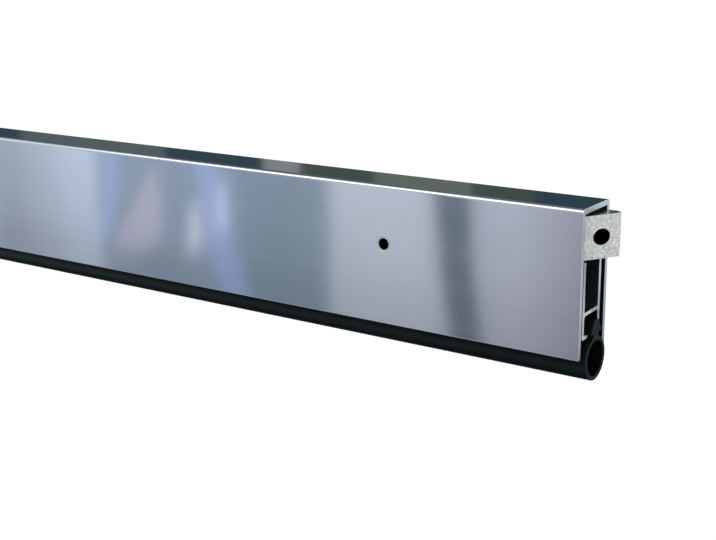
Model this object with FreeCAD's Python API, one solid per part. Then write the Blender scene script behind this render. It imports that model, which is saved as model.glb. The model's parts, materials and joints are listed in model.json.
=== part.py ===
import FreeCAD
import Part
import math
import os

# Automatic door bottom seal: a lever-driven drop seal in an extruded aluminium channel.
#
# Pushing the bevelled plunger at the hinge end slides a push rod along the channel. The rod
# swings two levers about hollow sleeves fixed across the channel, and the levers push the drop
# bar and its rubber bulb down to the floor. A coil spring on the rod lifts everything again.
#
# Frame, in millimetres: +X along the seal towards the plunger, +Y into the door, +Z up.
# The origin lies on the door-side face, midway between the two fixing holes and on their axes.

# Housing, an inverted U extruded in aluminium
LENGTH = 335.0
HOUSING_WIDTH = 14.0
HOUSING_HEIGHT = 35.0
FLANGE_WALL = 1.1
WEB_WALL = 1.3
HOUSING_CORNER = 1.0

# Fixing sleeves, which take the screws and carry the levers
HOLE_BELOW_TOP = 14.7
HOLE_INSET = 52.5
SCREW_BORE = 2.8
SLEEVE_WALL = 0.4

# Plunger block and its height adjuster
PLUNGER_HEIGHT = 10.1
PLUNGER_LENGTH = 16.0
PLUNGER_BEVEL_DEG = 31.8
PLUNGER_REACH = 4.2
PLUNGER_NOSE_RADIUS = 0.6
PLUNGER_HEEL_WIDTH = 1.2
PLUNGER_HEEL_LENGTH = 1.8
PLUNGER_HEEL_RADIUS = 1.2
PLUNGER_EDGE_RADIUS = 0.4
PLUNGER_SIDE_CLEARANCE = 0.2
PLUNGER_TOP_CLEARANCE = 1.0
ACCESS_BORE = 3.7
ADJUSTER_POCKET = 7.0
ADJUSTER_POCKET_DEPTH = 7.0
ADJUSTER_NOSE_LENGTH = 2.0
ADJUSTER_COLLAR_LENGTH = 2.0
ADJUSTER_THREAD = 3.0
ADJUSTER_ENGAGEMENT = 6.0
HEX_ACROSS_FLATS = 2.0
HEX_DEPTH = 2.5
RETAINER_LENGTH = 1.5
ADJUST_INWARD = 0.5

# Motion: how far the plunger goes in, and how far the seal then comes down
STROKE = 3.5
DROP = 10.5

# Push rod, its guides and its return spring
ROD_DIAMETER = 5.0
ROD_FLAT = 3.0
ROD_OVERHANG = 4.0
ROD_BORE_SPARE = 1.5
DRIVE_PIN_DIAMETER = 2.0
GUIDE_LENGTH = 7.0
GUIDE_EDGE_RADIUS = 0.6
SPRING_LENGTH = 11.0
SPRING_WIRE = 0.8
SPRING_TURNS = 3.0
WASHER_LENGTH = 1.0
CLIP_LENGTH = 0.6
CLIP_GROOVE_DEPTH = 0.5
CLIP_RIM = 1.3

# Drop levers
LEVER_HUB_WALL = 1.4
FORK_TINE_WALL = 1.5
FORK_ABOVE_PIN = 2.0
FORK_FLOOR_WALL = 0.7
LIFT_PIN_DIAMETER = 2.4
LEVER_EYE_WALL = 0.8

# Drop bar, an H extruded in aluminium, and the brackets that the levers work on
BAR_SIDE_GAP = 1.35
BAR_END_INSET = 0.4
BAR_WALL = 0.9
BAR_RECESS = 4.0
BAR_WEB = 0.8
BAR_LOWER_DEPTH = 4.7
BAR_LIP = 0.9
BAR_LIP_SLOT = 3.2
BAR_FILLET = 0.9
BRACKET_SHEET = 1.0
BRACKET_EAR_MARGIN = 1.6
BRACKET_BEND = 0.8
RIVET_DIAMETER = 2.0
RIVET_HEAD_DIAMETER = 3.0
RIVET_HEAD_LENGTH = 0.8

# Rubber bulb seal with a barbed stem
BULB_SIDE_GAP = 0.65
BULB_WALL = 1.0
SEAL_OVERHANG = 1.0
BARB_WIDTH = 5.2
BARB_TIP_WIDTH = 2.2
BARB_HEIGHT = 3.1

# Clearances
PRESS_CLEARANCE = 0.02
RUN_CLEARANCE = 0.05
SEAT_CLEARANCE = 0.1
PIN_CLEARANCE = 0.15
MOVING_CLEARANCE = 0.5
BAR_TOP_CLEARANCE = 0.4
LEVER_SIDE_CLEARANCE = 0.6
SHEET_CLEARANCE = 0.2

# Places that follow from the sizes above
V = FreeCAD.Vector
ALONG_X = V(1, 0, 0)
ALONG_Y = V(0, 1, 0)

END_X = LENGTH / 2
MID_Y = -HOUSING_WIDTH / 2
TOP_Z = HOLE_BELOW_TOP
INNER_WIDTH = HOUSING_WIDTH - 2 * FLANGE_WALL
CEILING_Z = TOP_Z - WEB_WALL
FOOT_Z = TOP_Z - HOUSING_HEIGHT

PLUNGER_TOP = CEILING_Z - PLUNGER_TOP_CLEARANCE
PLUNGER_BOTTOM = PLUNGER_TOP - PLUNGER_HEIGHT
PLUNGER_BACK = END_X - PLUNGER_LENGTH
PLUNGER_WIDTH = INNER_WIDTH - 2 * PLUNGER_SIDE_CLEARANCE
POCKET_FLOOR = PLUNGER_BACK + ADJUSTER_POCKET_DEPTH

ROD_Z = (PLUNGER_TOP + PLUNGER_BOTTOM) / 2
ROD_RADIUS = ROD_DIAMETER / 2
ROD_RIGHT = PLUNGER_BACK - ADJUST_INWARD - MOVING_CLEARANCE

STATIONS = {"right": END_X - HOLE_INSET, "left": HOLE_INSET - END_X}
SLEEVE_RADIUS = SCREW_BORE / 2 + SLEEVE_WALL

BAR_TOP = PLUNGER_BOTTOM - BAR_TOP_CLEARANCE
BAR_WIDTH = INNER_WIDTH - 2 * BAR_SIDE_GAP
BAR_CHANNEL = BAR_WIDTH - 2 * BAR_WALL
BAR_BOTTOM = FOOT_Z + BAR_RECESS
BAR_LIP_TOP = BAR_BOTTOM + BAR_LIP
BAR_WEB_BOTTOM = BAR_LIP_TOP + BAR_LOWER_DEPTH
BAR_WEB_TOP = BAR_WEB_BOTTOM + BAR_WEB
BULB_RADIUS = INNER_WIDTH / 2 - BULB_SIDE_GAP

# Lever geometry: the swing is even about the upright, so rod and bar keep one ratio
HALF_SWING = math.atan(STROKE / 2 / ROD_Z)
LEVER_REACH = DROP / 2 / math.sin(HALF_SWING)
LEVER_WIDTH = BAR_CHANNEL - 2 * LEVER_SIDE_CLEARANCE
HUB_RADIUS = SLEEVE_RADIUS + LEVER_HUB_WALL
HUB_WIDTH = INNER_WIDTH - 2 * SEAT_CLEARANCE
DRIVE_PIN_RADIUS = DRIVE_PIN_DIAMETER / 2
FORK_HALF = DRIVE_PIN_RADIUS + PIN_CLEARANCE + FORK_TINE_WALL
FORK_GAP = ROD_FLAT + 2 * SHEET_CLEARANCE
FORK_TOP = math.hypot(ROD_Z, STROKE / 2) + FORK_ABOVE_PIN
ROD_FLAT_HALF = FORK_HALF / math.cos(HALF_SWING) + ROD_RADIUS * math.tan(HALF_SWING) + MOVING_CLEARANCE
LIFT_PIN_RADIUS = LIFT_PIN_DIAMETER / 2
EYE_RADIUS = LIFT_PIN_RADIUS + LEVER_EYE_WALL
EAR_ABOVE_PIN = LIFT_PIN_RADIUS + PIN_CLEARANCE + LEVER_EYE_WALL
LIFT_PIN_REST_Z = ROD_Z - ROD_RADIUS - MOVING_CLEARANCE - EAR_ABOVE_PIN
LIFT_PIN_MID_Z = (LIFT_PIN_REST_Z - DROP / 2) / math.cos(HALF_SWING)
BRACKET_WIDTH = BAR_CHANNEL - 2 * SHEET_CLEARANCE
BRACKET_GAP = BRACKET_WIDTH - 2 * BRACKET_SHEET
LEVER_TONGUE = BRACKET_GAP - 2 * SHEET_CLEARANCE


def swung(x, z, angle):
    """A lever point, given with the lever upright, after it turns by angle from +Z towards +X."""
    turned_x = x * math.cos(angle) + z * math.sin(angle)
    turned_z = z * math.cos(angle) - x * math.sin(angle)
    return turned_x, turned_z


def outline(corners, place):
    """A closed wire through corners (u, v, radius), with round corners as tangent arcs."""
    edges = []
    starts = []
    ends = []
    count = len(corners)
    for index in range(count):
        before = corners[index - 1]
        here = corners[index]
        after = corners[(index + 1) % count]
        point = V(here[0], here[1], 0)
        back = (V(before[0], before[1], 0) - point).normalize()
        ahead = (V(after[0], after[1], 0) - point).normalize()
        radius = here[2]
        if radius == 0:
            starts.append(point)
            ends.append(point)
            continue
        half = back.getAngle(ahead) / 2
        reach = radius / math.tan(half)
        first = point + back * reach
        last = point + ahead * reach
        middle_way = (back + ahead).normalize()
        middle = point + middle_way * (radius / math.sin(half) - radius)
        edges.append(Part.Arc(place(first), place(middle), place(last)).toShape())
        starts.append(first)
        ends.append(last)
    for index in range(count):
        here = place(ends[index])
        after = place(starts[(index + 1) % count])
        edges.append(Part.LineSegment(here, after).toShape())
    return Part.Wire(Part.__sortEdges__(edges))


def along_x(corners, start, end):
    """A solid whose section, corners (y from the middle, z, radius), runs from start to end in X."""
    wire = outline(corners, lambda p: V(start, MID_Y + p.x, p.y))
    return Part.Face(wire).extrude(ALONG_X * (end - start))


def along_y(corners, width):
    """A solid whose side view is corners (x, z, radius), of that width about the middle."""
    wire = outline(corners, lambda p: V(p.x, MID_Y - width / 2, p.y))
    return Part.Face(wire).extrude(ALONG_Y * width)


def box(x0, x1, y0, y1, z0, z1):
    """A plain box, with y measured from the middle of the housing."""
    return Part.makeBox(x1 - x0, y1 - y0, z1 - z0, V(x0, MID_Y + y0, z0))


def round_x(radius, start, end, z=ROD_Z):
    """A round bar along X on the middle plane."""
    return Part.makeCylinder(radius, end - start, V(start, MID_Y, z), ALONG_X)


def round_y(radius, width, x, z):
    """A round bar along Y, of that width about the middle plane."""
    return Part.makeCylinder(radius, width, V(x, MID_Y - width / 2, z), ALONG_Y)


def ring_x(outer, inner, start, end):
    """A plain ring on the rod's axis."""
    return round_x(outer, start, end).cut(round_x(inner, start, end))


def slot_y(radius, width, x0, x1, z):
    """A slot's filling: two round ends at x0 and x1 and the straight between them."""
    ends = round_y(radius, width, x0, z).fuse(round_y(radius, width, x1, z))
    return ends.fuse(box(x0, x1, -width / 2, width / 2, z - radius, z + radius))


def make_housing():
    """The inverted U, with the sleeves' holes through both flanges."""
    outer = HOUSING_WIDTH / 2
    inner = INNER_WIDTH / 2
    shape = along_x(
        [
            (-outer, FOOT_Z, 0),
            (-outer, TOP_Z, HOUSING_CORNER),
            (outer, TOP_Z, HOUSING_CORNER),
            (outer, FOOT_Z, 0),
            (inner, FOOT_Z, 0),
            (inner, CEILING_Z, 0),
            (-inner, CEILING_Z, 0),
            (-inner, FOOT_Z, 0),
        ],
        -END_X,
        END_X,
    )
    for x in STATIONS.values():
        shape = shape.cut(round_y(SLEEVE_RADIUS + PRESS_CLEARANCE, HOUSING_WIDTH, x, 0))
    return shape


def make_sleeve(x):
    """A hollow sleeve, flush with both outer faces of the housing."""
    return round_y(SLEEVE_RADIUS, HOUSING_WIDTH, x, 0).cut(round_y(SCREW_BORE / 2, HOUSING_WIDTH, x, 0))


def make_guide(start):
    """A moulded block that fills the top of the housing and guides the rod."""
    half = INNER_WIDTH / 2
    block = along_x(
        [
            (-half, PLUNGER_BOTTOM, 0),
            (-half, CEILING_Z, GUIDE_EDGE_RADIUS),
            (half, CEILING_Z, GUIDE_EDGE_RADIUS),
            (half, PLUNGER_BOTTOM, 0),
        ],
        start,
        start + GUIDE_LENGTH,
    )
    return block.cut(round_x(ROD_RADIUS + RUN_CLEARANCE, start, start + GUIDE_LENGTH))


def make_spring():
    """The return coil of square wire, between the spring stop and the washer."""
    half = SPRING_WIRE / 2
    radius = ROD_RADIUS + SHEET_CLEARANCE + half
    start = RUN_CLEARANCE + half
    height = SPRING_LENGTH - 2 * start
    pitch = height / SPRING_TURNS
    helix = Part.makeHelix(pitch, height, radius)
    middle = V(radius, 0, 0)
    across = V(0, -pitch, 2 * math.pi * radius).normalize() * half
    outward = ALONG_X * half
    corners = [
        middle - outward - across,
        middle + outward - across,
        middle + outward + across,
        middle - outward + across,
    ]
    section = Part.makePolygon(corners + corners[:1])
    coil = Part.Wire(helix.Edges).makePipeShell([section], True, True)
    coil.rotate(V(0, 0, 0), ALONG_Y, 90)
    coil.translate(V(start, MID_Y, ROD_Z))
    return coil


def make_rod():
    """The push rod, with flats and pin holes at the levers, a clip groove and a tapped end."""
    left = STATIONS["left"] + STROKE / 2 - ROD_FLAT_HALF - ROD_OVERHANG
    rod = round_x(ROD_RADIUS, left, ROD_RIGHT)
    for station in STATIONS.values():
        pin_x = station + STROKE / 2
        for low, high in ((-ROD_RADIUS, -ROD_FLAT / 2), (ROD_FLAT / 2, ROD_RADIUS)):
            rod = rod.cut(
                box(
                    pin_x - ROD_FLAT_HALF,
                    pin_x + ROD_FLAT_HALF,
                    low,
                    high,
                    ROD_Z - ROD_RADIUS,
                    ROD_Z + ROD_RADIUS,
                )
            )
        rod = rod.cut(round_y(DRIVE_PIN_RADIUS + PRESS_CLEARANCE, ROD_DIAMETER, pin_x, ROD_Z))
    tapped = round_x(
        ADJUSTER_THREAD / 2 + RUN_CLEARANCE,
        ROD_RIGHT - ADJUSTER_ENGAGEMENT - ROD_BORE_SPARE,
        ROD_RIGHT,
    )
    clip_x = SPRING_LENGTH + WASHER_LENGTH
    groove = ring_x(
        ROD_RADIUS,
        ROD_RADIUS - CLIP_GROOVE_DEPTH,
        clip_x,
        clip_x + CLIP_LENGTH + 2 * PRESS_CLEARANCE,
    )
    return rod.cut(tapped).cut(groove)


def make_drive_pin(station):
    """The cross pin through the rod's flats, which turns a lever by its fork."""
    return round_y(DRIVE_PIN_RADIUS, LEVER_WIDTH, station + STROKE / 2, ROD_Z)


def make_washer():
    """The washer that the spring pushes on."""
    outer = ROD_RADIUS + CLIP_RIM
    return ring_x(outer, ROD_RADIUS + RUN_CLEARANCE, SPRING_LENGTH, SPRING_LENGTH + WASHER_LENGTH)


def make_clip():
    """The open retaining clip, snapped into the rod's groove from above."""
    start = SPRING_LENGTH + WASHER_LENGTH + PRESS_CLEARANCE
    end = start + CLIP_LENGTH
    bore = ROD_RADIUS - CLIP_GROOVE_DEPTH + PRESS_CLEARANCE
    rim = ROD_RADIUS + CLIP_RIM
    mouth = box(start, end, -bore, bore, ROD_Z - rim, ROD_Z)
    return ring_x(rim, bore, start, end).cut(mouth)


def make_plunger():
    """The block that the door frame pushes: a bevelled nose, eased behind its tip, and a bored back."""
    half = PLUNGER_WIDTH / 2
    nose_x = END_X + PLUNGER_REACH
    bevel_width = PLUNGER_WIDTH - PLUNGER_HEEL_WIDTH
    front_x = nose_x - bevel_width * math.tan(math.radians(PLUNGER_BEVEL_DEG))
    corners = [
        (PLUNGER_BACK, -half, 0),
        (front_x, -half, PLUNGER_EDGE_RADIUS),
        (nose_x, bevel_width - half, PLUNGER_NOSE_RADIUS),
        (nose_x - PLUNGER_HEEL_LENGTH, half, PLUNGER_HEEL_RADIUS),
        (PLUNGER_BACK, half, 0),
    ]
    wire = outline(corners, lambda p: V(p.x, MID_Y + p.y, PLUNGER_BOTTOM))
    block = Part.Face(wire).extrude(V(0, 0, PLUNGER_HEIGHT))
    access = round_x(ACCESS_BORE / 2, POCKET_FLOOR, nose_x)
    pocket = round_x(ADJUSTER_POCKET / 2, PLUNGER_BACK, POCKET_FLOOR)
    return block.cut(access).cut(pocket)


def make_adjuster():
    """The captive adjusting screw: hex-socket nose, collar and threaded shank."""
    nose_end = POCKET_FLOOR + ADJUSTER_NOSE_LENGTH
    collar_front = POCKET_FLOOR - RUN_CLEARANCE
    collar_back = collar_front - ADJUSTER_COLLAR_LENGTH
    tip = ROD_RIGHT - ADJUSTER_ENGAGEMENT
    nose = round_x(ACCESS_BORE / 2 - SEAT_CLEARANCE, collar_front, nose_end)
    collar = round_x(ADJUSTER_POCKET / 2 - SHEET_CLEARANCE, collar_back, collar_front)
    shank = round_x(ADJUSTER_THREAD / 2, tip, collar_back)
    corner = HEX_ACROSS_FLATS / math.sqrt(3)
    turns = [math.radians(60 * step) for step in range(6)]
    hexagon = [(corner * math.cos(turn), ROD_Z + corner * math.sin(turn), 0) for turn in turns]
    socket = along_x(hexagon, nose_end - HEX_DEPTH, nose_end)
    return nose.fuse(collar).fuse(shank).removeSplitter().cut(socket)


def make_retainer():
    """The ring pressed into the plunger's back, which keeps the adjuster in."""
    front = POCKET_FLOOR - ADJUSTER_COLLAR_LENGTH - 2 * RUN_CLEARANCE
    outer = ADJUSTER_POCKET / 2 - PRESS_CLEARANCE
    return ring_x(outer, ADJUSTER_THREAD / 2 + SHEET_CLEARANCE, front - RETAINER_LENGTH, front)


def make_lever(station):
    """A drop lever: wide hub on the sleeve, fork up round the rod and tongue out to the bracket."""
    pin_x = -LEVER_REACH
    pin_z = LIFT_PIN_MID_Z
    hub = round_y(HUB_RADIUS, HUB_WIDTH, 0, 0)
    fork = along_y(
        [
            (-FORK_HALF, 0, 0),
            (-FORK_HALF, FORK_TOP, FORK_TINE_WALL / 2),
            (FORK_HALF, FORK_TOP, FORK_TINE_WALL / 2),
            (FORK_HALF, 0, 0),
        ],
        LEVER_WIDTH,
    )
    fork_floor = HUB_RADIUS + FORK_FLOOR_WALL
    reach = FORK_TOP + DRIVE_PIN_DIAMETER
    rod_way = box(-FORK_HALF, FORK_HALF, -FORK_GAP / 2, FORK_GAP / 2, fork_floor, reach)
    slot_half = DRIVE_PIN_RADIUS + PIN_CLEARANCE
    pin_way = round_y(slot_half, LEVER_WIDTH, 0, ROD_Z - PIN_CLEARANCE)
    open_way = box(-slot_half, slot_half, -LEVER_WIDTH / 2, LEVER_WIDTH / 2, ROD_Z - PIN_CLEARANCE, reach)
    lean = math.atan2(pin_z, pin_x)
    square = V(-math.sin(lean), 0, math.cos(lean))
    hub_edge = square * (HUB_RADIUS * math.copysign(1, square.z))
    eye_edge = square * (EYE_RADIUS * math.copysign(1, square.z))
    tongue = along_y(
        [
            (hub_edge.x, hub_edge.z, 0),
            (pin_x + eye_edge.x, pin_z + eye_edge.z, 0),
            (pin_x - eye_edge.x, pin_z - eye_edge.z, 0),
            (-hub_edge.x, -hub_edge.z, 0),
        ],
        LEVER_TONGUE,
    )
    eye = round_y(EYE_RADIUS, LEVER_TONGUE, pin_x, pin_z)
    lever = hub.fuse(fork.cut(rod_way)).fuse(tongue).fuse(eye).removeSplitter()
    lever = lever.cut(pin_way).cut(open_way)
    lever = lever.cut(round_y(SLEEVE_RADIUS + RUN_CLEARANCE, HUB_WIDTH, 0, 0))
    lever = lever.cut(round_y(LIFT_PIN_RADIUS + PRESS_CLEARANCE, LEVER_TONGUE, pin_x, pin_z))
    lever.rotate(V(0, 0, 0), ALONG_Y, math.degrees(HALF_SWING))
    lever.translate(V(station, 0, 0))
    return lever


def make_lift_pin(station):
    """The cross pin at a lever's end, which lifts and lowers the bar by its bracket."""
    x, z = swung(-LEVER_REACH, LIFT_PIN_MID_Z, HALF_SWING)
    return round_y(LIFT_PIN_RADIUS, BRACKET_WIDTH, station + x, z)


def make_bar():
    """The H-section drop bar, notched where the levers' hubs cross it."""
    outer = BAR_WIDTH / 2
    inner = BAR_CHANNEL / 2
    slot = BAR_LIP_SLOT / 2
    bar = along_x(
        [
            (-outer, BAR_TOP, 0),
            (-inner, BAR_TOP, 0),
            (-inner, BAR_WEB_TOP, 0),
            (inner, BAR_WEB_TOP, 0),
            (inner, BAR_TOP, 0),
            (outer, BAR_TOP, 0),
            (outer, BAR_BOTTOM, BAR_LIP / 2),
            (slot, BAR_BOTTOM, 0),
            (slot, BAR_LIP_TOP, 0),
            (inner, BAR_LIP_TOP, 0),
            (inner, BAR_WEB_BOTTOM, BAR_FILLET),
            (-inner, BAR_WEB_BOTTOM, BAR_FILLET),
            (-inner, BAR_LIP_TOP, 0),
            (-slot, BAR_LIP_TOP, 0),
            (-slot, BAR_BOTTOM, 0),
            (-outer, BAR_BOTTOM, BAR_LIP / 2),
        ],
        BAR_END_INSET - END_X,
        END_X - BAR_END_INSET,
    )
    notch = HUB_RADIUS + MOVING_CLEARANCE
    for x in STATIONS.values():
        bar = bar.cut(round_y(notch, BAR_WIDTH, x, 0))
        bar = bar.cut(box(x - notch, x + notch, -outer, outer, 0, BAR_TOP))
    for x in rivet_places():
        hole = Part.makeCylinder(RIVET_DIAMETER / 2 + PRESS_CLEARANCE, BAR_WEB, V(x, MID_Y, BAR_WEB_BOTTOM))
        bar = bar.cut(hole)
    return bar


def bracket_slot(station):
    """Where a lift pin's centre travels in X: its two ends, in a bracket fixed to the bar."""
    swings = (-HALF_SWING, 0, HALF_SWING)
    places = [swung(-LEVER_REACH, LIFT_PIN_MID_Z, swing)[0] for swing in swings]
    return station + min(places) - PIN_CLEARANCE, station + max(places) + PIN_CLEARANCE


def bracket_ears(station):
    """The two ends of a bracket's ears in X."""
    low, high = bracket_slot(station)
    margin = LIFT_PIN_RADIUS + PIN_CLEARANCE + BRACKET_EAR_MARGIN
    return low - margin, high + margin


def rivet_places():
    """The X of the rivets, one in the middle of each bracket."""
    return [sum(bracket_ears(station)) / 2 for station in STATIONS.values()]


def make_bracket(station):
    """A folded steel bracket: two slotted ears on a base that is riveted to the bar's web."""
    low, high = bracket_ears(station)
    outer = BRACKET_WIDTH / 2
    inner = BRACKET_GAP / 2
    base = BAR_WEB_TOP + BRACKET_SHEET
    ear_top = LIFT_PIN_REST_Z + EAR_ABOVE_PIN
    ears = along_x(
        [
            (-outer, BAR_WEB_TOP, BRACKET_BEND),
            (-outer, ear_top, 0),
            (-inner, ear_top, 0),
            (-inner, base, 0),
            (inner, base, 0),
            (inner, ear_top, 0),
            (outer, ear_top, 0),
            (outer, BAR_WEB_TOP, BRACKET_BEND),
        ],
        low,
        high,
    )
    side_view = along_y(
        [
            (low, BAR_WEB_TOP, 0),
            (low, ear_top, BRACKET_EAR_MARGIN),
            (high, ear_top, BRACKET_EAR_MARGIN),
            (high, BAR_WEB_TOP, 0),
        ],
        BRACKET_WIDTH,
    )
    slot_low, slot_high = bracket_slot(station)
    slot_radius = LIFT_PIN_RADIUS + PIN_CLEARANCE
    pin_slot = slot_y(slot_radius, BRACKET_WIDTH, slot_low, slot_high, LIFT_PIN_REST_Z)
    foot = V((low + high) / 2, MID_Y, BAR_WEB_TOP)
    rivet_hole = Part.makeCylinder(RIVET_DIAMETER / 2 + PRESS_CLEARANCE, BRACKET_SHEET, foot)
    return ears.common(side_view).cut(pin_slot).cut(rivet_hole)


def make_rivets():
    """The rivets that hold the brackets to the bar's web, set flush below it."""
    grip_top = BAR_WEB_TOP + BRACKET_SHEET
    rivets = []
    for x in rivet_places():
        foot = V(x, MID_Y, BAR_WEB_BOTTOM)
        shank = Part.makeCylinder(RIVET_DIAMETER / 2, grip_top - BAR_WEB_BOTTOM, foot)
        head = Part.makeCylinder(RIVET_HEAD_DIAMETER / 2, RIVET_HEAD_LENGTH, V(x, MID_Y, grip_top))
        rivets.append(shank.fuse(head))
    return Part.makeCompound(rivets)


def make_seal():
    """The rubber bulb on its barbed stem, cut a little longer than the bar."""
    radius = BULB_RADIUS
    slot = BAR_LIP_SLOT / 2
    neck = slot - PIN_CLEARANCE
    centre_z = BAR_BOTTOM - SEAT_CLEARANCE - math.sqrt(radius**2 - slot**2)
    neck_z = centre_z + math.sqrt(radius**2 - neck**2)
    barb_z = BAR_LIP_TOP + SEAT_CLEARANCE
    start = -END_X - SEAL_OVERHANG
    right_side = [
        (neck, neck_z),
        (neck, barb_z),
        (BARB_WIDTH / 2, barb_z),
        (BARB_TIP_WIDTH / 2, barb_z + BARB_HEIGHT),
    ]
    left_side = [(-y, z) for y, z in reversed(right_side)]
    points = [V(start, MID_Y + y, z) for y, z in right_side + left_side]
    edges = [Part.LineSegment(a, b).toShape() for a, b in zip(points, points[1:])]
    lowest = V(start, MID_Y, centre_z - radius)
    edges.append(Part.Arc(points[-1], lowest, points[0]).toShape())
    bore = Part.Wire(Part.makeCircle(radius - BULB_WALL, V(start, MID_Y, centre_z), ALONG_X))
    section = Part.Face(Part.Wire(edges)).cut(Part.Face(bore))
    return section.extrude(ALONG_X * (LENGTH + 2 * SEAL_OVERHANG))


def make_parts():
    """Every piece by its node's name."""
    parts = {
        "housing": make_housing(),
        "spring_stop": make_guide(-GUIDE_LENGTH),
        "return_spring": make_spring(),
        "push_rod": make_rod(),
        "spring_washer": make_washer(),
        "retaining_clip": make_clip(),
        "plunger_block": make_plunger(),
        "adjusting_screw": make_adjuster(),
        "adjuster_retainer": make_retainer(),
        "drop_bar": make_bar(),
        "bracket_rivets": make_rivets(),
        "bulb_seal": make_seal(),
    }
    for side, station in STATIONS.items():
        guide_x = station + STROKE / 2 + ROD_FLAT_HALF + MOVING_CLEARANCE
        parts["pivot_sleeve_" + side] = make_sleeve(station)
        parts["rod_guide_" + side] = make_guide(guide_x)
        parts["drive_pin_" + side] = make_drive_pin(station)
        parts["drop_lever_" + side] = make_lever(station)
        parts["lift_pin_" + side] = make_lift_pin(station)
        parts["lift_bracket_" + side] = make_bracket(station)
    return parts


def main():
    os.makedirs("parts", exist_ok=True)
    for name, shape in make_parts().items():
        shape.exportStep(os.path.join("parts", name + ".step"))
    print("lever half swing, degrees:", round(math.degrees(HALF_SWING), 4))
    print("lever reach:", round(LEVER_REACH, 3))
    print("lift pin at rest:", round(LIFT_PIN_REST_Z, 3))


main()
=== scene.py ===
import bpy
import json
import math
from mathutils import Matrix, Vector


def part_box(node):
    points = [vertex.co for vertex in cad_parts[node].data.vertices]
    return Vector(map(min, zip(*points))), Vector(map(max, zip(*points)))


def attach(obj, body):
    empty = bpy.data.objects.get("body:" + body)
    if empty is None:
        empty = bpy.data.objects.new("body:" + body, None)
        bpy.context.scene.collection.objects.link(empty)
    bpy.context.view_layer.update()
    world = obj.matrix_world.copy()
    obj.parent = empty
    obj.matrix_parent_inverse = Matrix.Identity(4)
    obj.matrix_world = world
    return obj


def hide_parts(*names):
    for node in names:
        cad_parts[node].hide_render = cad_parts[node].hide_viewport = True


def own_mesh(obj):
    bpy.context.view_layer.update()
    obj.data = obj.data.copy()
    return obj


# Looks for a lever-driven automatic door bottom seal: mill-finish aluminium channel and drop bar,
# grained plunger block, black rubber bulb, and plated steel and nylon inside.
# Metres. +X along the seal to the plunger, +Y into the door, +Z up.

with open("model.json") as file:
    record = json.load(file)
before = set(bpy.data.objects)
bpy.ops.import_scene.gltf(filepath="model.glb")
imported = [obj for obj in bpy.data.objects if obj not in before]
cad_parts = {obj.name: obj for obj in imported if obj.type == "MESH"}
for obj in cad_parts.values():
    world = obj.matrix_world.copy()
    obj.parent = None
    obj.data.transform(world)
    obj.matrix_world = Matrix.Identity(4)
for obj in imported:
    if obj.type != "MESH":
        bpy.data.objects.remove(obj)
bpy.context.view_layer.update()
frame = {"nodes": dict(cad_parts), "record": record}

# Camera, fitted to the photograph's edges
CAMERA_PLACE = Vector((0.279, -0.259, 0.074))
CAMERA_YAW = math.radians(35.03)
CAMERA_PITCH = math.radians(15.28)
CAMERA_ROLL = math.radians(-0.71)
CAMERA_LENS = 62.5
CAMERA_NEAR = 0.01
SENSOR_WIDTH = 36.0

# The push rod's axis, which lies on the section's middle plane
ROD_Y = -0.007
ROD_Z = 0.00735

# Return spring, as it lies at rest on the push rod
SPRING_START = 0.00045
SPRING_PITCH = 0.0101 / 3
SPRING_TURNS = 3
SPRING_STEPS_PER_TURN = 40
SPRING_RADIUS = 0.0031
SPRING_WIRE = 0.0008
SPRING_WIRE_ROUNDING = 0.3

# Half the width between the inner walls
HOUSING_INNER_HALF = 0.0059
BAR_INNER_HALF = 0.00365

# Fixing sleeves, one each side of the middle, and the plunger's hole for a key
SLEEVE_X = 0.115
SLEEVE_BORE_RADIUS = 0.0014
ACCESS_BORE_RADIUS = 0.00185

# Where a mask fades: outside an inner wall, outside a bore, and by slope at sawn ends and edges
INNER_WALL_FADE = (0.00003, 0.0001)
BORE_FADE = (0.00002, 0.00008)
SAWN_END_SLOPE = (0.85, 0.95)
EDGE_WEAR_AND_HIGHLIGHT_SLOPE = (0.995, 0.9)
EDGE_SAMPLES = 6

# Plated steel
STEEL_EDGE_RADIUS = 0.00012
STEEL_GRAIN_DEPTH = 0.00001

# Stage: heights, then depths
FLOOR_Z = -0.25
CLOTH_Z = -0.2
SCREEN_FOOT_Z = FLOOR_Z + 0.002
SCREEN_TOP_Z = 0.03
TOP_FACE_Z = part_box("housing")[1].z
FAR_WALL_TOP_Z = 2.0
CEILING_Z = 4.0
FAR_WALL_Y = -3.0
FRONT_SCREEN_Y = -0.32
FOLD_Y = -0.315
GLEAM_Y = -0.312
BACK_SCREEN_Y = 0.95

# Stage: half widths, and where the screens start before they run towards -X
FLOOR_HALF = 6.0
CEILING_HALF = 6.0
FRONT_SCREEN_START = 1.6
BACK_SCREEN_START = 0.6
FAR_WALL_HALF = 4.0

# Light
FLOOR_LIFT = 0.34
SKY_STRENGTH = 0.5
SUN_STRENGTH = 1.15
SUN_SPREAD = math.radians(60)
FILL_POWER = 5.0
FILL_SIZE = 1.0


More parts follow.
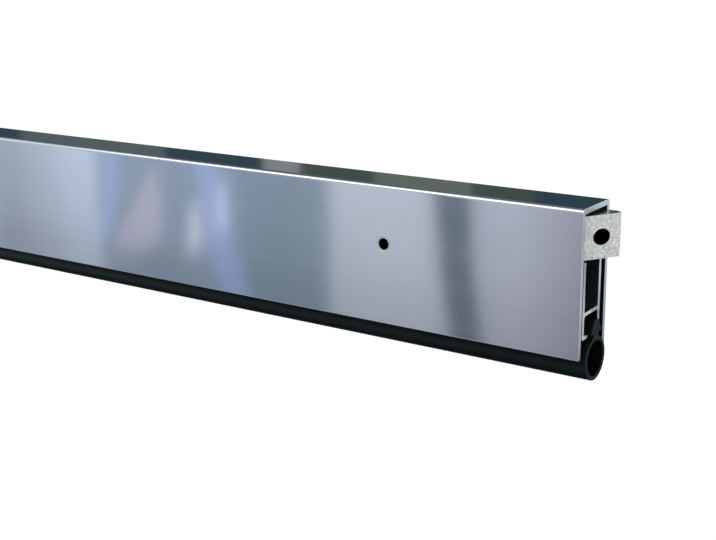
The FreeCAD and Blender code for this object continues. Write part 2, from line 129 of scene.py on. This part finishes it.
class Finish:
    """A procedural material while its nodes are being wired."""

    def __init__(self, name):
        self.material = bpy.data.materials.new(name)
        self.material.use_nodes = True
        self.tree = self.material.node_tree
        self.tree.nodes.clear()
        self.shader = self.add("ShaderNodeBsdfPrincipled")
        self.end = self.add("ShaderNodeOutputMaterial")
        self.link(self.shader.outputs["BSDF"], self.end.inputs["Surface"])
        self.place = self.add("ShaderNodeTexCoord")

    def add(self, kind, **settings):
        node = self.tree.nodes.new(kind)
        for key, value in settings.items():
            setattr(node, key, value)
        return node

    def link(self, source, target):
        self.tree.links.new(source, target)

    def fill(self, socket, value):
        """A plain value, or the output of another node."""
        if isinstance(value, bpy.types.NodeSocket):
            self.link(value, socket)
        else:
            socket.default_value = value

    def set(self, **values):
        """Plain values and links on the shader, by socket name with _ for spaces."""
        for key, value in values.items():
            self.fill(self.shader.inputs[key.replace("_", " ")], value)

    def math(self, operation, first, second=0.0, clamp=False):
        node = self.add("ShaderNodeMath", operation=operation, use_clamp=clamp)
        self.fill(node.inputs[0], first)
        self.fill(node.inputs[1], second)
        return node.outputs[0]

    def sum(self, first, second, share=1.0):
        """first and a share of second."""
        if share != 1.0:
            second = self.math("MULTIPLY", second, share)
        return self.math("ADD", first, second)

    def spread(self, value, low, high, out_low, out_high):
        """value from low..high to out_low..out_high, held at the ends."""
        node = self.add("ShaderNodeMapRange")
        for socket, number in zip(node.inputs[:5], (value, low, high, out_low, out_high)):
            self.fill(socket, number)
        return node.outputs[0]

    def stretched(self, scale, offset=(0, 0, 0)):
        node = self.add("ShaderNodeMapping")
        node.inputs["Scale"].default_value = scale
        node.inputs["Location"].default_value = offset
        self.link(self.place.outputs["Object"], node.inputs["Vector"])
        return node.outputs[0]

    def unstretched(self):
        return self.stretched((1, 1, 1))

    def noise(self, vector, scale=1.0, detail=3.0, roughness=0.5):
        node = self.add("ShaderNodeTexNoise")
        self.link(vector, node.inputs["Vector"])
        node.inputs["Scale"].default_value = scale
        node.inputs["Detail"].default_value = detail
        node.inputs["Roughness"].default_value = roughness
        return node.outputs["Fac"]

    def cells(self, vector, scale):
        node = self.add("ShaderNodeTexVoronoi")
        self.link(vector, node.inputs["Vector"])
        node.inputs["Scale"].default_value = scale
        return node.outputs["Color"]

    def rings(self, vector, scale, distortion, detail):
        node = self.add("ShaderNodeTexWave", wave_type="RINGS", rings_direction="X")
        self.link(vector, node.inputs["Vector"])
        node.inputs["Scale"].default_value = scale
        node.inputs["Distortion"].default_value = distortion
        node.inputs["Detail"].default_value = detail
        return node.outputs["Fac"]

    def mix(self, factor, first, second):
        node = self.add("ShaderNodeMix", data_type="RGBA", blend_type="MIX")
        self.fill(node.inputs["Factor"], factor)
        self.fill(node.inputs[6], first)
        self.fill(node.inputs[7], second)
        return node.outputs[2]

    def blotched(self, pattern, low, high, first, second):
        """first where the pattern is low, second where it is high."""
        return self.mix(self.spread(pattern, low, high, 0.0, 1.0), first, second)

    def parts(self, coordinates):
        node = self.add("ShaderNodeSeparateXYZ")
        self.link(self.place.outputs[coordinates], node.inputs[0])
        return node.outputs

    def ends(self):
        """1 on faces cut square across the length, 0 on the others."""
        across = self.math("ABSOLUTE", self.parts("Normal")["X"])
        return self.spread(across, *SAWN_END_SLOPE, 0.0, 1.0)

    def inside(self, half):
        """1 between the inner walls of a channel on the middle plane, 0 outside them."""
        across = self.math("ABSOLUTE", self.math("SUBTRACT", self.parts("Object")["Y"], ROD_Y))
        near, far = INNER_WALL_FADE
        return self.spread(across, half + near, half + far, 1.0, 0.0)

    def near_axis(self, first, first_place, second, second_place, radius):
        """1 on a bore's wall and inside it, 0 outside: first is measured either side of the origin."""
        parts = self.parts("Object")
        u = self.math("SUBTRACT", self.math("ABSOLUTE", parts[first]), first_place)
        v = self.math("SUBTRACT", parts[second], second_place)
        square = self.math("ADD", self.math("MULTIPLY", u, u), self.math("MULTIPLY", v, v))
        near, far = BORE_FADE
        return self.spread(self.math("SQRT", square), radius + near, radius + far, 1.0, 0.0)

    def rounded(self, radius):
        node = self.add("ShaderNodeBevel", samples=EDGE_SAMPLES)
        node.inputs["Radius"].default_value = radius
        return node.outputs["Normal"]

    def edges(self, normal):
        """1 along edges, where the rounded normal leaves the face's own: the mask for rubbed wear and
        painted highlight.
        """
        shape = self.add("ShaderNodeNewGeometry")
        product = self.add("ShaderNodeVectorMath", operation="DOT_PRODUCT")
        self.link(normal, product.inputs[0])
        self.link(shape.outputs["Normal"], product.inputs[1])
        return self.spread(product.outputs["Value"], *EDGE_WEAR_AND_HIGHLIGHT_SLOPE, 0.0, 1.0)

    def wear_and_highlight(self, colour, normal, share, rubbed_highlight):
        """colour, with a share of a paler colour along the edges, for rubbed wear and painted
        highlight.
        """
        return self.mix(self.math("MULTIPLY", self.edges(normal), share), colour, rubbed_highlight)

    def bump(self, height, distance, strength, normal):
        node = self.add("ShaderNodeBump")
        node.inputs["Strength"].default_value = strength
        node.inputs["Distance"].default_value = distance
        self.link(height, node.inputs["Height"])
        self.link(normal, node.inputs["Normal"])
        return node.outputs["Normal"]


def grey(value):
    return (value, value, value, 1.0)


def scaled(colour, factor):
    return tuple(factor * c for c in colour) + (1.0,)


def aluminium(name, tint, smooth, inner_half):
    """Extruded aluminium: die lines along the length, sawn ends, edges rubbed bright with painted
    highlight, and painted shade inside the channel.

    smooth is the least roughness, and inner_half is half the width between the inner walls.
    """
    saw_centre = (0, 0.06, 0.05)
    # Painted shade colours for inside the channel
    shaded_inside_dark = (0.33, 0.39, 0.40, 1.0)
    shaded_inside_light = (0.40, 0.45, 0.46, 1.0)
    rubbed_highlight = (0.86, 0.87, 0.89, 1.0)
    edge_radius = 0.00022
    wave_depth = 0.00006
    line_depth = 0.000006
    finish = Finish(name)
    ends = finish.ends()
    broad = finish.noise(finish.stretched((3, 260, 260)), detail=2)
    lines = finish.noise(finish.stretched((9, 2600, 2600)), detail=4, roughness=0.65)
    hair = finish.noise(finish.stretched((40, 9000, 9000)), detail=2)
    clouds = finish.noise(finish.stretched((45, 45, 45)), detail=4)
    waves = finish.noise(finish.stretched((26, 34, 34)), detail=1)
    saw = finish.rings(finish.stretched((1, 1, 1), saw_centre), scale=620, distortion=1.5, detail=2)

    shade = finish.sum(finish.math("MULTIPLY", lines, 0.10), clouds, 0.10)
    shade = finish.sum(shade, broad, 0.08)
    drawn = finish.blotched(shade, 0.09, 0.19, scaled(tint, 0.96), scaled(tint, 1.03))
    # Painted shade: between the inner walls the channel is coloured darker teal greys.
    dull = finish.mix(clouds, shaded_inside_dark, shaded_inside_light)
    drawn = finish.mix(finish.inside(inner_half), drawn, dull)
    sawn = finish.mix(saw, grey(0.64), grey(0.92))
    soft = finish.rounded(edge_radius)
    # Paler edges: rubbed wear and painted highlight.
    colour = finish.wear_and_highlight(finish.mix(ends, drawn, sawn), soft, 0.2, rubbed_highlight)

    drawn_rough = finish.spread(finish.sum(lines, broad), 0.7, 1.3, smooth, smooth + 0.02)
    rough = finish.math("ADD", drawn_rough, finish.math("MULTIPLY", ends, 0.26), clamp=True)
    cut = finish.math("MULTIPLY", saw, ends)
    height = finish.sum(finish.sum(lines, hair, 0.5), cut, 3.0)
    normal = finish.bump(waves, wave_depth, 0.5, soft)
    normal = finish.bump(height, line_depth, 0.06, normal)
    tangent = finish.add("ShaderNodeTangent", direction_type="RADIAL", axis="X")
    finish.set(Base_Color=colour, Metallic=1.0, Roughness=rough, Normal=normal, Anisotropic=0.6)
    finish.set(Tangent=tangent.outputs[0])
    return finish.material


def plunger_alloy():
    """A cast block: smooth sides, and a coarse sparkling grain on its bevel."""
    smooth_dark = (0.58, 0.60, 0.63, 1.0)
    smooth_light = (0.70, 0.71, 0.72, 1.0)
    edge_radius = 0.00025
    grain_depth = 0.00012
    finish = Finish("plunger_alloy")
    bevel = finish.spread(finish.parts("Normal")["X"], 0.5, 0.8, 0.0, 1.0)
    place = finish.unstretched()
    grain = finish.noise(place, 1350, 3.0, 0.65)
    fine = finish.noise(place, 5200, 1.0)
    speck = finish.cells(place, 2600)
    clouds = finish.noise(place, 300, 3.0)
    grained = finish.blotched(grain, 0.36, 0.64, grey(0.50), grey(0.75))
    flecks = finish.spread(speck, 0.70, 0.92, 0.0, 0.8)
    grained = finish.mix(flecks, grained, grey(0.97))
    smooth = finish.mix(clouds, smooth_dark, smooth_light)
    soft = finish.rounded(edge_radius)
    # Paler edges: rubbed wear and painted highlight.
    colour = finish.wear_and_highlight(finish.mix(bevel, smooth, grained), soft, 0.4, grey(0.86))
    # Painted shade: the access bore's wall and mouth are coloured near black.
    bore = finish.near_axis("Y", -ROD_Y, "Z", ROD_Z, ACCESS_BORE_RADIUS)
    colour = finish.mix(bore, colour, finish.mix(grain, grey(0.002), grey(0.006)))
    height = finish.sum(grain, fine, 0.5)
    height = finish.math("MULTIPLY", height, finish.spread(bevel, 0.0, 1.0, 0.12, 1.0))
    normal = finish.bump(height, grain_depth, 0.6, soft)
    rough = finish.sum(finish.spread(grain, 0.3, 0.7, 0.24, 0.34), bevel, 0.26)
    metal = finish.spread(bevel, 0.0, 1.0, 1.0, 0.35)
    finish.set(Base_Color=colour, Metallic=metal, Roughness=rough, Normal=normal)
    return finish.material


def black_rubber():
    """Extruded rubber: near black, faint lines along it and a dull sheen."""
    deep = (0.0006, 0.0022, 0.0030, 1.0)
    bloomed = (0.0018, 0.0040, 0.0050, 1.0)
    cut = (0.0040, 0.0056, 0.0066, 1.0)
    edge_radius = 0.0002
    line_depth = 0.00002
    finish = Finish("black_rubber")
    lines = finish.noise(finish.stretched((6, 1500, 1500)), detail=3)
    bloom = finish.noise(finish.stretched((160, 220, 220)), detail=4)
    pores = finish.noise(finish.unstretched(), 5200, 1.0)
    colour = finish.blotched(bloom, 0.4, 0.75, deep, bloomed)
    colour = finish.mix(finish.math("MULTIPLY", finish.ends(), 0.5), colour, cut)
    rough = finish.spread(finish.sum(lines, bloom), 0.7, 1.3, 0.26, 0.40)
    height = finish.sum(lines, pores, 0.6)
    normal = finish.bump(height, line_depth, 0.4, finish.rounded(edge_radius))
    finish.set(Base_Color=colour, Roughness=rough, Normal=normal, Specular_IOR_Level=0.12)
    return finish.material


def nylon():
    """Natural moulded nylon: warm white, faintly clouded."""
    warm = (0.72, 0.70, 0.63, 1.0)
    pale = (0.85, 0.84, 0.79, 1.0)
    edge_radius = 0.00025
    grain_depth = 0.00003
    finish = Finish("nylon")
    clouds = finish.noise(finish.unstretched(), 420, 4.0)
    grain = finish.noise(finish.unstretched(), 4200, 2.0)
    colour = finish.blotched(clouds, 0.35, 0.7, warm, pale)
    rough = finish.spread(grain, 0.3, 0.7, 0.36, 0.5)
    normal = finish.bump(grain, grain_depth, 0.35, finish.rounded(edge_radius))
    finish.set(Base_Color=colour, Roughness=rough, Normal=normal)
    return finish.material


def spangled(finish):
    """The fine crystals of a zinc coat."""
    return finish.noise(finish.unstretched(), 1900, 3.0, 0.7)


def plated_steel():
    """Zinc-plated steel: bluish grey with a faint passivated tint and crystals."""
    blue_grey = (0.52, 0.54, 0.58, 1.0)
    passivated = (0.66, 0.66, 0.64, 1.0)
    crystal = (0.78, 0.79, 0.80, 1.0)
    finish = Finish("plated_steel")
    blotch = finish.noise(finish.unstretched(), 240, 4.0)
    spangle = spangled(finish)
    colour = finish.blotched(blotch, 0.38, 0.68, blue_grey, passivated)
    colour = finish.mix(finish.spread(spangle, 0.5, 0.75, 0.0, 0.35), colour, crystal)
    soft = finish.rounded(STEEL_EDGE_RADIUS)
    # Paler edges: rubbed wear and painted highlight.
    colour = finish.wear_and_highlight(colour, soft, 0.5, grey(0.85))
    rough = finish.spread(spangle, 0.3, 0.75, 0.24, 0.42)
    normal = finish.bump(spangle, STEEL_GRAIN_DEPTH, 0.4, soft)
    finish.set(Base_Color=colour, Metallic=1.0, Roughness=rough, Normal=normal)
    return finish.material


def sleeve_steel():
    """A plated sleeve with painted shade in its bore, near black inside."""
    rim_dark = (0.62, 0.64, 0.67, 1.0)
    rim_light = (0.80, 0.81, 0.82, 1.0)
    finish = Finish("sleeve_steel")
    inside = finish.near_axis("X", SLEEVE_X, "Z", 0.0, SLEEVE_BORE_RADIUS)
    spangle = spangled(finish)
    rim = finish.blotched(spangle, 0.35, 0.7, rim_dark, rim_light)
    # Painted shade: near black inside the bore.
    bore = finish.blotched(spangle, 0.35, 0.7, grey(0.006), grey(0.016))
    colour = finish.mix(inside, rim, bore)
    rough = finish.spread(inside, 0.0, 1.0, 0.28, 0.6)
    normal = finish.bump(spangle, STEEL_GRAIN_DEPTH, 0.4, finish.rounded(STEEL_EDGE_RADIUS))
    finish.set(Base_Color=colour, Metallic=1.0, Roughness=rough, Normal=normal)
    return finish.material


def black_steel():
    """Steel with a black oxide finish, a little rubbed, with paler edges for rubbed wear and painted
    highlight.
    """
    oxide = (0.004, 0.004, 0.0045, 1.0)
    rubbed = (0.014, 0.014, 0.015, 1.0)
    edge_radius = 0.0001
    finish = Finish("black_steel")
    rub = finish.noise(finish.unstretched(), 1400, 4.0, 0.6)
    soft = finish.rounded(edge_radius)
    # Paler edges: rubbed wear and painted highlight.
    colour = finish.wear_and_highlight(finish.blotched(rub, 0.45, 0.8, oxide, rubbed), soft, 0.3, grey(0.05))
    rough = finish.spread(rub, 0.3, 0.7, 0.38, 0.55)
    normal = finish.bump(rub, STEEL_GRAIN_DEPTH, 0.3, soft)
    finish.set(Base_Color=colour, Metallic=0.7, Roughness=rough, Normal=normal)
    return finish.material


def dress(finishes):
    """Each CAD node gets its own finish, or else that of its slot in the record."""
    for part in frame["record"]["subparts"]:
        node = frame["nodes"][part["node"]]
        for place in node.material_slots:
            place.material = finishes.get(part["node"], finishes[part["material_slot"]])


def mesh_object(name, points, faces, material, smooth=False):
    mesh = bpy.data.meshes.new(name)
    mesh.from_pydata(points, [], faces)
    mesh.polygons.foreach_set("use_smooth", [smooth] * len(mesh.polygons))
    mesh.materials.append(material)
    mesh.update()
    thing = bpy.data.objects.new(name, mesh)
    bpy.context.scene.collection.objects.link(thing)
    return thing


def wire_section():
    """A square with rounded corners, three points to a corner."""
    half = SPRING_WIRE / 2
    rounding = half * SPRING_WIRE_ROUNDING
    core = half * (1 - SPRING_WIRE_ROUNDING) * math.sqrt(2)
    section = []
    for corner_degrees in (45, 135, 225, 315):
        corner = math.radians(corner_degrees)
        for lean in (-30, 0, 30):
            turn = math.radians(corner_degrees + lean)
            u = core * math.cos(corner) + rounding * math.cos(turn)
            v = core * math.sin(corner) + rounding * math.sin(turn)
            section.append((u, v))
    return section


def make_spring(material):
    """The return coil, of square wire with rounded corners, as it lies at rest on the push rod."""
    steps = SPRING_STEPS_PER_TURN * SPRING_TURNS
    section = wire_section()
    climb = math.atan2(SPRING_PITCH, 2 * math.pi * SPRING_RADIUS)
    points = []
    for step in range(steps + 1):
        turns = step / SPRING_STEPS_PER_TURN
        turn = 2 * math.pi * turns
        outward = Vector((0, math.sin(turn), -math.cos(turn)))
        around = Vector((0, math.cos(turn), math.sin(turn)))
        along = Vector((math.cos(climb), 0, 0)) - around * math.sin(climb)
        middle = Vector((SPRING_START + SPRING_PITCH * turns, ROD_Y, ROD_Z)) + outward * SPRING_RADIUS
        points += [middle + outward * u + along * v for u, v in section]
    count = len(section)
    faces = [tuple(range(count)), tuple(reversed(range(steps * count, (steps + 1) * count)))]
    for step in range(steps):
        low = step * count
        for side in range(count):
            after = (side + 1) % count
            faces.append((low + after, low + side, low + count + side, low + count + after))
    spring = mesh_object("return_coil", points, faces, material, smooth=True)
    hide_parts("return_spring")
    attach(spring, "housing")
    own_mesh(spring)


def make_camera():
    data = bpy.data.cameras.new("camera")
    data.sensor_fit = "HORIZONTAL"
    data.sensor_width = SENSOR_WIDTH
    data.lens = CAMERA_LENS
    data.clip_start = CAMERA_NEAR
    ahead = Vector(
        (
            -math.sin(CAMERA_YAW) * math.cos(CAMERA_PITCH),
            math.cos(CAMERA_YAW) * math.cos(CAMERA_PITCH),
            -math.sin(CAMERA_PITCH),
        )
    )
    right = ahead.cross(Vector((0, 0, 1))).normalized()
    up = right.cross(ahead)
    rolled_right = right * math.cos(CAMERA_ROLL) + up * math.sin(CAMERA_ROLL)
    rolled_up = up * math.cos(CAMERA_ROLL) - right * math.sin(CAMERA_ROLL)
    camera = bpy.data.objects.new("camera", data)
    bpy.context.scene.collection.objects.link(camera)
    turn = Matrix((rolled_right, rolled_up, -ahead)).transposed().to_4x4()
    camera.matrix_world = Matrix.Translation(CAMERA_PLACE) @ turn
    bpy.context.scene.camera = camera


def seen_plainly(tree):
    """1 for camera, glossy and transmission rays, 0 for diffuse light and shadow rays."""
    path = tree.nodes.new("ShaderNodeLightPath")
    total = path.outputs["Is Camera Ray"]
    for name in ("Is Glossy Ray", "Is Transmission Ray"):
        node = tree.nodes.new("ShaderNodeMath")
        node.operation = "MAXIMUM"
        tree.links.new(total, node.inputs[0])
        tree.links.new(path.outputs[name], node.inputs[1])
        total = node.outputs[0]
    return total


def make_world():
    """White behind everything, and an even soft light."""
    world = bpy.data.worlds.new("studio")
    bpy.context.scene.world = world
    world.use_nodes = True
    tree = world.node_tree
    tree.nodes.clear()
    light = tree.nodes.new("ShaderNodeBackground")
    light.inputs["Color"].default_value = (0.97, 0.985, 1.0, 1)
    light.inputs["Strength"].default_value = SKY_STRENGTH
    white = tree.nodes.new("ShaderNodeBackground")
    white.inputs["Color"].default_value = (1, 1, 1, 1)
    white.inputs["Strength"].default_value = 1.0
    mix = tree.nodes.new("ShaderNodeMixShader")
    end = tree.nodes.new("ShaderNodeOutputWorld")
    tree.links.new(seen_plainly(tree), mix.inputs[0])
    tree.links.new(light.outputs[0], mix.inputs[1])
    tree.links.new(white.outputs[0], mix.inputs[2])
    tree.links.new(mix.outputs[0], end.inputs["Surface"])


def make_floor():
    """A plain pale floor, lifted to white where it is seen, and clear from below."""
    finish = Finish("pale_floor")
    mottle = finish.noise(finish.unstretched(), 14, 3.0)
    colour = finish.mix(mottle, grey(0.86), grey(0.88))
    lift = finish.math("MULTIPLY", seen_plainly(finish.tree), FLOOR_LIFT)
    finish.set(Base_Color=colour, Roughness=0.9, Specular_IOR_Level=0.0)
    finish.set(Emission_Color=(1, 1, 1, 1), Emission_Strength=lift)
    side = finish.add("ShaderNodeNewGeometry")
    clear = finish.add("ShaderNodeBsdfTransparent")
    one_sided = finish.add("ShaderNodeMixShader")
    finish.link(side.outputs["Backfacing"], one_sided.inputs[0])
    finish.link(finish.shader.outputs["BSDF"], one_sided.inputs[1])
    finish.link(clear.outputs[0], one_sided.inputs[2])
    finish.link(one_sided.outputs[0], finish.end.inputs["Surface"])
    h = FLOOR_HALF
    corners = [(-h, -h, FLOOR_Z), (h, -h, FLOOR_Z), (h, h, FLOOR_Z), (-h, h, FLOOR_Z)]
    floor = mesh_object("floor", corners, [(0, 1, 2, 3)], finish.material)


def make_screen(name, ladders):
    """A studio screen that only shows in reflections.

    A ladder is a list of rungs, and a rung is (left point, its colour, right point, its colour).
    """
    material = bpy.data.materials.new(name)
    material.use_nodes = True
    tree = material.node_tree
    tree.nodes.clear()
    glow = tree.nodes.new("ShaderNodeEmission")
    end = tree.nodes.new("ShaderNodeOutputMaterial")
    tone = tree.nodes.new("ShaderNodeAttribute")
    tone.attribute_name = "tone"
    tree.links.new(tone.outputs["Color"], glow.inputs["Color"])
    tree.links.new(glow.outputs[0], end.inputs["Surface"])
    points = []
    colours = []
    faces = []
    for rungs in ladders:
        first = len(points)
        for low in range(first, first + 2 * (len(rungs) - 1), 2):
            faces.append((low, low + 1, low + 3, low + 2))
        for left, left_colour, right, right_colour in rungs:
            points += [left, right]
            colours += [left_colour, right_colour]
    card = mesh_object(name, points, faces, material)
    layer = card.data.color_attributes.new("tone", "FLOAT_COLOR", "POINT")
    for place, colour in zip(layer.data, colours):
        place.color = colour
    for way_seen in ("camera", "diffuse", "transmission", "volume_scatter", "shadow"):
        setattr(card, "visible_" + way_seen, False)


def make_card(name, depth, start, bands, rows):
    """An upright screen along the seal, which runs from x = start towards -X.

    bands are (x of the band's far end, colour), or with a third value for the share of that colour
    at the band's near end. rows are (height, share of the colour), from the lowest to the highest.
    """
    ladders = []
    near = start
    for far, colour, *fade in bands:
        near_share = fade[0] if fade else 1.0
        rungs = []
        for height, share in rows:
            near_end = (near, depth, height)
            far_end = (far, depth, height)
            rungs.append((near_end, scaled(colour, near_share * share), far_end, scaled(colour, share)))
        ladders.append(rungs)
        near = far
    make_screen(name, ladders)


def make_strip(name, depth, colour, rows):
    """A narrow screen that hangs in front of a card.

    rows are (height, left x, right x, share of the colour), from the highest to the lowest.
    """
    rungs = []
    for height, left, right, share in rows:
        shade = scaled(colour, share)
        rungs.append(((left, depth, height), shade, (right, depth, height), shade))
    make_screen(name, [rungs])


def make_level_screen(name, height, tint, rows):
    """A level screen. rows are (depth, left x, right x, tone), from the front to the back."""
    rungs = []
    for depth, left, right, tone in rows:
        shade = scaled(tint, tone)
        rungs.append(((left, depth, height), shade, (right, depth, height), shade))
    make_screen(name, [rungs])


def make_front_cards():
    """Greys that the front face mirrors, and a far wall that fills in behind them."""
    side_wall = (0.48, 0.555, 0.67)
    grey_wall = (0.50, 0.52, 0.595)
    end_share = 0.68
    end_wall = [end_share * c for c in grey_wall]
    soft_box = (0.575, 0.62, 0.69)
    dusk = (0.26, 0.33, 0.405)
    shade = (0.305, 0.375, 0.47)
    mid = (0.385, 0.465, 0.585)
    bright = (0.70, 0.76, 0.88)
    pale_wall = (0.365, 0.41, 0.485)
    pale_wall_near_share = 1.85
    distance = (0.60, 0.63, 0.68)
    bands = [
        (0.70, side_wall),
        (0.52, bright),
        (0.36, mid),
        (0.032, end_wall),
        (-0.008, grey_wall, end_share),
        (-0.04, grey_wall),
        (-0.127, soft_box),
        (-0.199, dusk),
        (-0.3125, shade),
        (-0.41, pale_wall, pale_wall_near_share),
        (-1.27, side_wall),
    ]
    fall = [
        (SCREEN_FOOT_Z, 0.4),
        (-0.14, 0.74),
        (-0.10, 1.0),
        (-0.06, 1.15),
        (SCREEN_TOP_Z, 1.25),
    ]
    even = [(SCREEN_FOOT_Z, 1.0), (FAR_WALL_TOP_Z, 1.0)]
    make_card("front_screen", FRONT_SCREEN_Y, FRONT_SCREEN_START, bands, fall)
    make_card("far_wall", FAR_WALL_Y, FAR_WALL_HALF, [(-FAR_WALL_HALF, distance)], even)


def make_folds():
    """A dark flag, hanging folds and two gleams before the front screen."""
    flag = [
        (SCREEN_TOP_Z, -0.056, -0.032, 1.25),
        (-0.06, -0.0545, -0.0317, 1.15),
        (-0.095, -0.0515, -0.0305, 1.0),
        (-0.13, -0.0455, -0.0262, 0.8),
        (SCREEN_FOOT_Z, -0.03, -0.01, 0.4),
    ]
    blue_fold = [
        (SCREEN_TOP_Z, -0.300, -0.288, 1.2),
        (-0.06, -0.2985, -0.2885, 1.1),
        (-0.085, -0.2995, -0.289, 1.0),
        (-0.107, -0.3065, -0.2965, 1.0),
        (-0.118, -0.3075, -0.3005, 0.7),
    ]
    warm_fold = [
        (-0.066, -0.2595, -0.2545, 1.0),
        (-0.087, -0.2715, -0.252, 1.0),
        (-0.111, -0.2905, -0.2525, 0.9),
        (-0.124, -0.3005, -0.277, 0.7),
    ]
    long_fold = [
        (SCREEN_TOP_Z, -0.218, -0.203, 1.2),
        (-0.06, -0.22, -0.205, 1.1),
        (-0.095, -0.2165, -0.1975, 1.0),
        (-0.138, -0.2035, -0.183, 0.75),
        (SCREEN_FOOT_Z, -0.17, -0.15, 0.4),
    ]
    near_gleam = [(-0.07, -0.202, -0.1965, 1.0), (-0.096, -0.201, -0.193, 0.9)]
    far_gleam = [(-0.085, -0.2255, -0.2175, 0.9), (-0.112, -0.2275, -0.2165, 1.0)]
    make_strip("flag", FOLD_Y, (0.13, 0.165, 0.203), flag)
    make_strip("blue_fold", FOLD_Y, (0.42, 0.55, 0.86), blue_fold)
    make_strip("warm_fold", FOLD_Y, (0.61, 0.615, 0.71), warm_fold)
    make_strip("long_fold", FOLD_Y, (0.41, 0.52, 0.82), long_fold)
    make_strip("near_gleam", GLEAM_Y, (0.95, 1.06, 1.35), near_gleam)
    make_strip("far_gleam", GLEAM_Y, (0.90, 0.95, 1.08), far_gleam)


def make_back_card():
    """Dusk with a few paler stretches, which the top face mirrors."""
    shade = (0.048, 0.082, 0.112)
    dim = (0.090, 0.113, 0.104)
    haze = (0.190, 0.220, 0.197)
    cool_haze = (0.133, 0.165, 0.175)
    lit = (0.33, 0.355, 0.36)
    bands = [
        (-0.33, shade),
        (-0.41, dim),
        (-0.543, haze),
        (-0.655, dim),
        (-0.714, lit),
        (-0.882, shade),
        (-1.172, cool_haze),
        (-3.0, shade),
    ]
    even = [(TOP_FACE_Z, 1.0), (CEILING_Z, 1.0)]
    make_card("back_screen", BACK_SCREEN_Y, BACK_SCREEN_START, bands, even)


def make_cloth():
    """A dark cloth below the seal, which its rubber mirrors: paler in front, wider behind."""
    left = -0.7
    right = 0.75
    wide = 1.8
    rows = [
        (-0.27, left, right, 1.0),
        (-0.12, left, right, 0.8),
        (-0.05, left, right, 0.3),
        (0.0, left, right, 0.05),
        (0.1, left, right, 0.07),
        (0.25, left, right, 0.27),
        (0.45, -wide, wide, 0.3),
        (0.75, -wide, wide, 0.6),
        (1.8, -wide, wide, 0.6),
    ]
    make_level_screen("dark_cloth", CLOTH_Z, (0.8, 1.0, 1.08), rows)


def make_ceiling():
    """Dusk overhead that pales to the front, which the rounded upper corners mirror."""
    half = CEILING_HALF
    rows = [
        (-2.2, -half, half, 1.0),
        (-1.0, -half, half, 0.75),
        (0.0, -half, half, 0.3),
        (BACK_SCREEN_Y, -half, half, 0.1),
    ]
    make_level_screen("ceiling", CEILING_Z, (0.96, 1.0, 1.04), rows)


def hang_light(data, place, way):
    """A light at a place that shines along way."""
    light = bpy.data.objects.new(data.name, data)
    bpy.context.scene.collection.objects.link(light)
    turn = way.to_track_quat("-Z", "Y").to_matrix().to_4x4()
    light.matrix_world = Matrix.Translation(place) @ turn


def make_lamps():
    """A broad soft light from the front and above, and a weaker one on the plunger's end."""
    key = bpy.data.lights.new("key", "SUN")
    key.energy = SUN_STRENGTH
    key.angle = SUN_SPREAD
    hang_light(key, Vector((0, 0, 0)), Vector((0.35, 0.6, -1.0)))
    fill = bpy.data.lights.new("fill", "AREA")
    fill.shape = "DISK"
    fill.size = FILL_SIZE
    fill.energy = FILL_POWER
    place = Vector((1.4, -0.7, 0.7))
    aim = Vector((0.12, ROD_Y, 0))
    hang_light(fill, place, aim - place)


bpy.context.scene.view_settings.view_transform = "Standard"
steel = plated_steel()
sleeve = sleeve_steel()
housing_tint = (0.70, 0.72, 0.76)
bar_tint = (0.57, 0.59, 0.61)
dress(
    {
        "housing_aluminium": aluminium("housing_aluminium", housing_tint, 0.09, HOUSING_INNER_HALF),
        "bar_aluminium": aluminium("bar_aluminium", bar_tint, 0.27, BAR_INNER_HALF),
        "plunger_alloy": plunger_alloy(),
        "black_rubber": black_rubber(),
        "nylon": nylon(),
        "steel": steel,
        "black_steel": black_steel(),
        "pivot_sleeve_right": sleeve,
        "pivot_sleeve_left": sleeve,
    }
)
make_spring(steel)
make_camera()
make_world()
make_floor()
make_front_cards()
make_folds()
make_back_card()
make_cloth()
make_ceiling()
make_lamps()
